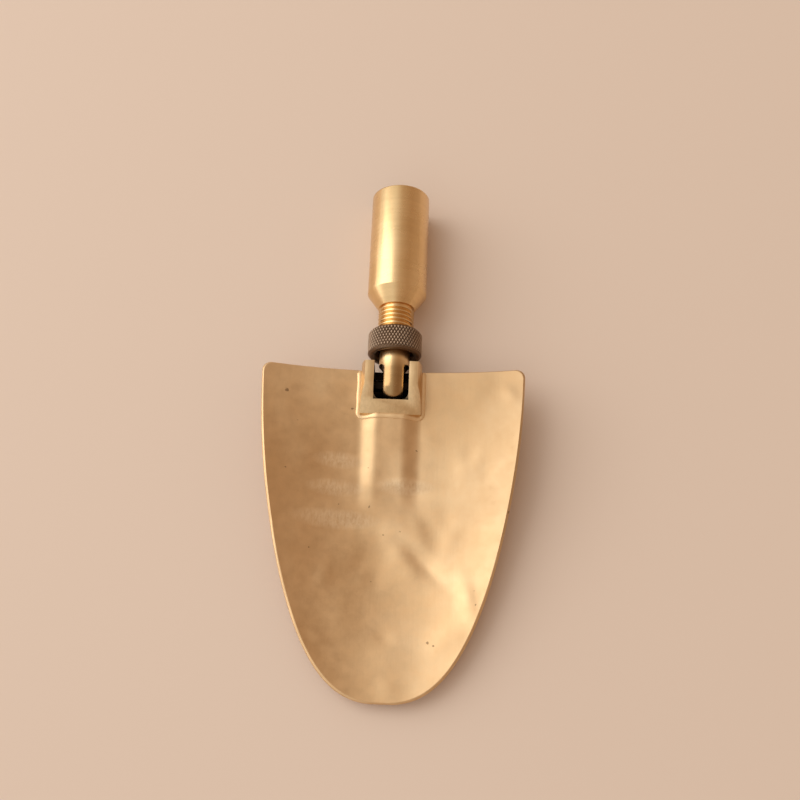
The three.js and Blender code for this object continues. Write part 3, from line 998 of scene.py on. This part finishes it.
nearer = knurl_sum("MINIMUM", groove_distance("ADD"), groove_distance("SUBTRACT"))
crest = knurl_sum("MINIMUM", knurl_sum("DIVIDE", nearer, flat_top_share), 1.0)
squares = knurl_sum("ADD", knurl_sum("MULTIPLY", right, right), knurl_sum("MULTIPLY", above, above))
reach = knurl_sum("SQRT", squares)
lowest = knurl_sum("SUBTRACT", entry.outputs["Valley"], edge_margin)
on_band = knurl_sum("GREATER_THAN", reach, lowest)
after_start = knurl_sum("GREATER_THAN", along, edge_margin)
to_end = knurl_sum("SUBTRACT", entry.outputs["End"], split.outputs["Y"])
before_end = knurl_sum("GREATER_THAN", to_end, edge_margin)
inside = knurl_sum("MULTIPLY", knurl_sum("MULTIPLY", on_band, after_start), before_end)
height = knurl_sum("MULTIPLY", crest, inside)
print("height from", len(knurl_tree.nodes), "nodes")

# %% Lift the diamonds
plain_tone = 0.42

grow = knurl_sum("DIVIDE", knurl_sum("MULTIPLY", height, entry.outputs["Depth"]), reach)
outward = add_node(knurl_tree, "ShaderNodeCombineXYZ")
knurl_tree.links.new(knurl_sum("MULTIPLY", right, grow), outward.inputs["X"])
knurl_tree.links.new(knurl_sum("MULTIPLY", above, grow), outward.inputs["Z"])
plain = knurl_sum("MULTIPLY", knurl_sum("SUBTRACT", 1.0, inside), plain_tone)
stored = add_node(
    knurl_tree,
    "GeometryNodeStoreNamedAttribute",
    {"data_type": "FLOAT", "domain": "POINT"},
)
stored.inputs["Name"].default_value = "knurl_height"
knurl_tree.links.new(entry.outputs["Geometry"], stored.inputs["Geometry"])
knurl_tree.links.new(knurl_sum("MAXIMUM", height, plain), stored.inputs["Value"])
moved = add_node(knurl_tree, "GeometryNodeSetPosition")
knurl_tree.links.new(stored.outputs[0], moved.inputs["Geometry"])
knurl_tree.links.new(outward.outputs[0], moved.inputs["Offset"])
end_tree(knurl_tree, entry, moved.outputs[0])
print("knurl tree with", len(knurl_tree.nodes), "nodes")

# %% Roll the knurl
run_tree(nut_knurled, knurl_tree, knurl_ids, knurl_inputs, aged_brass)
shade(nut_knurled, sharp_angle=55)
nut_reach = max(math.hypot(v.co.x, v.co.z - axis_height) for v in nut_knurled.data.vertices)
print("nut radius", round(1000 * nut_reach, 3), "mm")

# %% [markdown]
# The clevis is a short round block with a slot for the tongue, and a tang that runs on under the
# blade. The frame has that shape already, so it isn't drawn again. The mesh there is loose
# triangles: a copy of it is merged, its flat faces are joined up, and its edges get the small round
# of a file.

# %% Clevis
clevis_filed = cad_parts["clevis"].copy()
clevis_filed.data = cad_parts["clevis"].data.copy()
clevis_filed.name = "clevis_filed"
clevis_filed.parent = None
clevis_filed.matrix_world = Matrix.Identity(4)
for key in list(clevis_filed.keys()):
    del clevis_filed[key]
bpy.context.scene.collection.objects.link(clevis_filed)
print("clevis copied:", len(clevis_filed.data.polygons), "triangles")

# %% File the clevis
loose_point = 1e-6
flat_angle = math.radians(1.5)
filed_round = mm(0.3)
shaped = bmesh.new()
shaped.from_mesh(clevis_filed.data)
bmesh.ops.remove_doubles(shaped, verts=shaped.verts, dist=loose_point)
bmesh.ops.dissolve_limit(
    shaped,
    angle_limit=flat_angle,
    verts=shaped.verts,
    edges=shaped.edges,
)
shaped.to_mesh(clevis_filed.data)
shaped.free()
clevis_filed.data.materials.clear()
clevis_filed.data.materials.append(filed_brass)
soften(clevis_filed, filed_round, angle=40, steps=3)
print("clevis:", len(clevis_filed.data.polygons), "faces")

# %% [markdown]
# The blade is one hammered sheet. Its outline, its dish and the ridge over the tang follow the
# formulas of the drawing, and the hammer's marks are shallow round facets on top of that. The
# underside is the same surface, moved square through the sheet. Sculpting by eye would give such a
# form too, but with formulas the blade can be set against the photograph one value at a time.

# %% Sizes of the blade
blade_width = mm(85.6)
blade_thickness = mm(1.5)
corner_round = mm(3)
outline_taper = 1.55
outline_fullness = 2.6
top_edge_lift = mm(7.55)
belly_place = mm(56)
dish_place = mm(46)
tip_curl_place = mm(68)
tip_lift = mm(3)
dish_exponent = 2.2
dish_carry = 1.2
top_dish = mm(5.7)
belly_dish = mm(12.6)
ridge_height = mm(2)
ridge_top_width = mm(8)
ridge_foot_width = mm(20)
ridge_fade_length = mm(18)
ridge_end = mm(50)
top_edge_reach = mm(6)
top_edge = pin_place + top_edge_reach
full_length = mm(106)
print("blade", round(1000 * (blade_high.y - blade_low.y), 2), "mm long in the frame")

# %% Shape of the blade


def clamped(value):
    """A value held between 0 and 1."""
    return min(max(value, 0.0), 1.0)


def eased(value):
    """An even rise from 0 to 1 that starts and ends level."""
    share = clamped(value)
    return share * share * (3 - 2 * share)


def full_half_width(y):
    """Half the blade's width, as if its top corners were square."""
    share = clamped((top_edge - y) / full_length)
    return (blade_width / 2) * (1 - share**outline_taper) ** (1 / outline_fullness)


def half_width(y):
    """Half the blade's width, with its top corners rounded."""
    inside = corner_round * clamped(1 - (top_edge - y) / corner_round)
    return full_half_width(y) - (corner_round - math.sqrt(corner_round**2 - inside**2))


def sheet_height(x, y):
    """Height of the upper face, before the hammer's marks."""
    from_edge = top_edge - y
    slope = top_edge_lift * (1 - eased(from_edge / belly_place))
    curl = tip_lift * clamped((from_edge - tip_curl_place) / (full_length - tip_curl_place)) ** 2
    rise = top_dish + (belly_dish - top_dish) * eased(from_edge / dish_place)
    width = max(full_half_width(y), same_point)
    fullness = (width / (blade_width / 2)) ** 2
    side = rise * fullness * min(abs(x) / width, dish_carry) ** dish_exponent
    flank = (ridge_foot_width - ridge_top_width) / 2
    beside = (abs(x - clevis_middle) - ridge_top_width / 2) / flank
    along = (ridge_end - from_edge) / ridge_fade_length
    ridge = ridge_height * (1 - eased(beside)) * eased(along)
    return blade_thickness + slope + curl + side + ridge


print("upper face at the pin's place:", round(1000 * sheet_height(0, pin_place), 2), "mm high")

# %% [markdown]
# Each blow of the hammer left a shallow mark, with a place, a size across and along, a turn and a
# depth, in millimetres. Those that catch the light in the picture are listed one by one, and a seeded
# scatter of faint ones covers the rest. A bell-shaped curve lets every mark fade into the sheet.

# %% Hammer marks
main_marks = [
    # x, y, half width, half length, turn in radians, depth
    (-17, -10.0, 6.5, 1.5, 0.02, 0.10),
    (-17, -12.6, 6.5, 1.5, 0.02, -0.10),
    (-17.5, -19.0, 7.5, 1.6, 0.03, 0.12),
    (-17.5, -21.8, 7.5, 1.6, 0.03, -0.12),
    (-17, -28.2, 10.5, 1.9, 0.02, 0.20),
    (-17, -31.6, 10.5, 1.9, 0.02, -0.16),
    (5, -17.4, 7.0, 1.5, 0.04, 0.12),
    (5, -20.2, 7.0, 1.5, 0.04, -0.12),
    (5, -35.0, 10.5, 6.0, -0.75, 0.34),
    (10.5, -41.5, 9.0, 2.6, -0.75, -0.30),
    (-3, -44.0, 6.0, 8.0, -0.4, -0.16),
    (25.4, -54.0, 2.6, 6.5, 0.25, 0.18),
    (19.0, -66.0, 4.5, 7.0, -0.75, 0.14),
    (-28, -6.0, 7.0, 9.0, 0.1, 0.14),
    (-30, -42.0, 7.0, 9.0, -0.2, 0.14),
    (29, -12.0, 8.0, 10.0, 0.1, 0.14),
    (28, -33.0, 6.0, 8.0, 0.3, -0.10),
    (-12, -58.0, 8.0, 9.0, 0.2, 0.12),
    (2, -71.0, 8.0, 7.0, 0.0, 0.10),
]
mark_strength = 3.4
mark_reach = 2.2
faint_count = 90
faint_ranges = [
    # the same six values, each from the lowest to the highest
    (-40, 40),
    (-84, 18),
    (2.2, 4.8),
    (2.2, 5.5),
    (-0.8, 0.8),
    (-0.075, 0.075),
]
scatter = random.Random(7)
faint_marks = []
for _ in range(faint_count):
    faint_marks.append(tuple(scatter.uniform(low, high) for low, high in faint_ranges))


def mark_height(x, y):
    """What the hammer's marks add to the height at a place."""
    total = 0.0
    for mark_x, mark_y, wide, long, turn, depth in main_marks + faint_marks:
        off_x = x * 1000 - mark_x
        off_y = y * 1000 - mark_y
        if abs(off_x) + abs(off_y) > mark_reach * (wide + long):
            continue
        beside = (off_x * math.cos(turn) + off_y * math.sin(turn)) / wide
        ahead = (off_y * math.cos(turn) - off_x * math.sin(turn)) / long
        total += mark_strength * depth * math.exp(-(beside**2 + ahead**2))
    return mm(total)


print("marks:", len(main_marks), "main and", len(faint_marks), "faint")

# %% [markdown]
# The sheet is a grid of points for each face, and a few rings between them for the rounded rim. Its
# rows crowd together at both ends and its columns at the sides, where the outline bends most. A
# grid was chosen over a Solidify modifier because each point can then be placed by the formulas.

# %% Points of the sheet
slope_step = mm(0.05)


def blade_surface(x, y):
    """Height of the hammered upper face."""
    return sheet_height(x, y) + mark_height(x, y)


def square_below(x, y, depth):
    """A point at a depth under the upper face, square to it."""
    step = slope_step
    slope_x = (sheet_height(x + step, y) - sheet_height(x - step, y)) / (2 * step)
    slope_y = (sheet_height(x, y + step) - sheet_height(x, y - step)) / (2 * step)
    normal = Vector((-slope_x, -slope_y, 1)).normalized()
    return Vector((x, y, blade_surface(x, y))) - normal * depth


blade_rows = 150
blade_columns = 130
column_crowding = 0.9


def blade_grid(depth, inset):
    """One face of the sheet as rows of points, drawn in from the outline by an inset."""
    rows = []
    middle = top_edge - full_length / 2
    reach = full_length / 2 - inset
    widest = math.sin(math.pi / 2 * column_crowding)
    for row in range(blade_rows + 1):
        lengthwise = math.cos(math.pi * row / blade_rows)
        y = middle + reach * lengthwise
        outline_y = middle + (full_length / 2) * lengthwise
        half = max(half_width(outline_y) - inset, 0.0)
        line = []
        for column in range(blade_columns + 1):
            spread = 2 * column / blade_columns - 1
            share = math.sin(math.pi / 2 * spread * column_crowding) / widest
            line.append(square_below(half * share, y, depth))
        rows.append(line)
    return rows


def rim_loop(rows):
    """The points round the edge of a grid."""
    loop = list(rows[0])
    loop += [row[-1] for row in rows[1:]]
    loop += list(reversed(rows[-1]))[1:]
    loop += [row[0] for row in reversed(rows[1:-1])]
    return loop


print("grid of", blade_rows, "by", blade_columns)

# %% Two faces of the sheet
edge_round = mm(0.45)
upper = blade_grid(0.0, edge_round)
lower = blade_grid(blade_thickness, edge_round)
points = [point for line in upper for point in line] + [point for line in lower for point in line]
across_count = blade_columns + 1
under = len(points) // 2
faces = []
for row in range(blade_rows):
    for column in range(blade_columns):
        here = row * across_count + column
        below = here + across_count
        faces.append((here, here + 1, below + 1, below))
        faces.append((under + here, under + below, under + below + 1, under + here + 1))
print(len(faces), "faces on the two sides")

# %% Round rim of the sheet
edge_steps = 4


def rim_numbers(first):
    """The rim's corner numbers in a grid that starts at a number, in the order of rim_loop."""
    last = first + blade_rows * across_count
    numbers = [first + column for column in range(across_count)]
    numbers += [first + row * across_count + blade_columns for row in range(1, blade_rows + 1)]
    numbers += [last + column for column in range(blade_columns - 1, -1, -1)]
    numbers += [first + row * across_count for row in range(blade_rows - 1, 0, -1)]
    return numbers


loops = [rim_numbers(0)]
for step in range(1, edge_steps + 1):
    share = step / (edge_steps + 1)
    bulge = math.sin(math.pi * share)
    ring_rows = blade_grid(blade_thickness * share, edge_round * (1 - bulge))
    loop = rim_loop(ring_rows)
    loops.append(list(range(len(points), len(points) + len(loop))))
    points.extend(loop)
loops.append(rim_numbers(under))
for first, second in zip(loops, loops[1:]):
    for place in range(len(first)):
        after = (place + 1) % len(first)
        faces.append((first[place], first[after], second[after], second[place]))
blade_hammered = new_object("blade_hammered", points, faces, hammered_brass)
print("blade:", len(blade_hammered.data.polygons), "faces")

# %% Cut the notch for the clevis
notch_gap = mm(0.4)
notch_reach = mm(9.9)
notch_margin = mm(2)
clevis_radius = (clevis_high.x - clevis_low.x) / 2
notch_end = pin_place - notch_reach
notch_half = clevis_radius + notch_gap
notch_outline = [
    (clevis_middle - notch_half, notch_end),
    (clevis_middle + notch_half, notch_end),
    (clevis_middle + notch_half, top_edge + notch_margin),
    (clevis_middle - notch_half, top_edge + notch_margin),
]
notch_tool = slab("notch_tool", notch_outline, -notch_margin, socket_high.z + notch_margin)
cut_with(blade_hammered, notch_tool)
shade(blade_hammered, sharp_angle=45)
print("blade with its notch:", len(blade_hammered.data.polygons), "faces")

# %% [markdown]
# The brazing metal fills the joint between the blade and the clevis. It is swept along the notch
# as a low fillet. Metal that ran as a liquid is never quite even, so its width and height wander.
# A bevelled curve can't vary the two apart, so each ring of the seam is placed by itself.

# %% Route of the seam
seam_width = mm(1.0)
seam_height = mm(0.42)
seam_sink = mm(0.1)
seam_sides = 14
seam_steps = 60
bend_steps = 8
seam_bend = mm(1.4)
seam_offset = mm(0.05)


def seam_route():
    """The way round the notch, from the top edge on the left to the top edge on the right."""
    out = notch_half + seam_offset
    end = notch_end - seam_offset
    start = top_edge - seam_height
    route = []
    for step in range(seam_steps):
        route.append((-out, start + (end + seam_bend - start) * step / seam_steps))
    for step in range(bend_steps):
        angle = math.pi / 2 * step / bend_steps
        route.append(
            (
                -out + seam_bend * (1 - math.cos(angle)),
                end + seam_bend * (1 - math.sin(angle)),
            )
        )
    for step in range(seam_steps):
        route.append(((seam_bend - out) * (1 - 2 * step / seam_steps), end))
    mirrored = [(-x, y) for x, y in reversed(route[: seam_steps + bend_steps])]
    route.append((out - seam_bend, end))
    return [(clevis_middle + x, y) for x, y in route + mirrored]


seam_centres = [Vector((x, y, blade_surface(x, y))) for x, y in seam_route()]
print("seam of", len(seam_centres), "places")

# %% Brazed seam
width_wander = 0.2
width_wander_scale = 320
height_wander = 0.15
height_wander_scale = 250
end_share = 0.35
tapered_places = 4

last_place = len(seam_centres) - 1
points = []
for place, centre in enumerate(seam_centres):
    before = seam_centres[max(place - 1, 0)]
    after = seam_centres[min(place + 1, last_place)]
    along = (after - before).normalized()
    sidewards = Vector((0, 0, 1)).cross(along).normalized()
    upwards = along.cross(sidewards)
    width = seam_width * (1 + width_wander * noise.noise(centre * width_wander_scale))
    tall = seam_height * (1 + height_wander * noise.noise(centre * height_wander_scale))
    from_end = min(place, last_place - place) / tapered_places
    taper = clamped(end_share + (1 - end_share) * from_end)
    for side in range(seam_sides):
        angle = 2 * math.pi * side / seam_sides
        points.append(
            centre
            + sidewards * (math.cos(angle) * width * taper)
            + upwards * (math.sin(angle) * tall * taper - seam_sink)
        )
faces = tube_faces(len(seam_centres), seam_sides)
brazed_seam = new_object("brazed_seam", points, faces, brazing_metal)
print("seam:", len(brazed_seam.data.polygons), "faces")

# %% [markdown]
# The hinge pin is riveted: its ends are hammered over, flush with the round sides of the ears, and
# show there as two faint discs. A bar with domed ends is that shape.

# %% Riveted pin
pin_recess = mm(0.15)
rivet_dome = mm(0.12)
rivet_round = mm(0.05)
pin_sides = 64
pin_riveted = pin_bar(
    "pin_riveted",
    pin_radius,
    pin_low.x + pin_recess,
    pin_high.x - pin_recess,
    pin_sides,
    rivet_dome,
    pin_brass,
)
soften(pin_riveted, rivet_round, angle=40, steps=2)
print("pin:", len(pin_riveted.data.polygons), "faces")

# %% [markdown]
# Each piece now rides on the body that carries it and stands for its node in the frame. When the
# hinge folds, the clevis, the pin, the seam and the blade go together. The nut rides by itself.

# %% Bodies
for piece, body, node, slot in (
    (socket_turned, "handle_socket", "socket", "turned_brass"),
    (nut_knurled, "lock_ring", "lock_nut", "aged_brass"),
    (pin_riveted, "shovel_blade", "pivot_pin", "turned_brass"),
    (clevis_filed, "shovel_blade", "clevis", "turned_brass"),
    (blade_hammered, "shovel_blade", "blade", "hammered_brass"),
    (brazed_seam, "shovel_blade", "braze_bead", "brazing_metal"),
):
    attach(piece, body)
    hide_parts(node)
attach(thread_object, "handle_socket")
print("pieces placed")
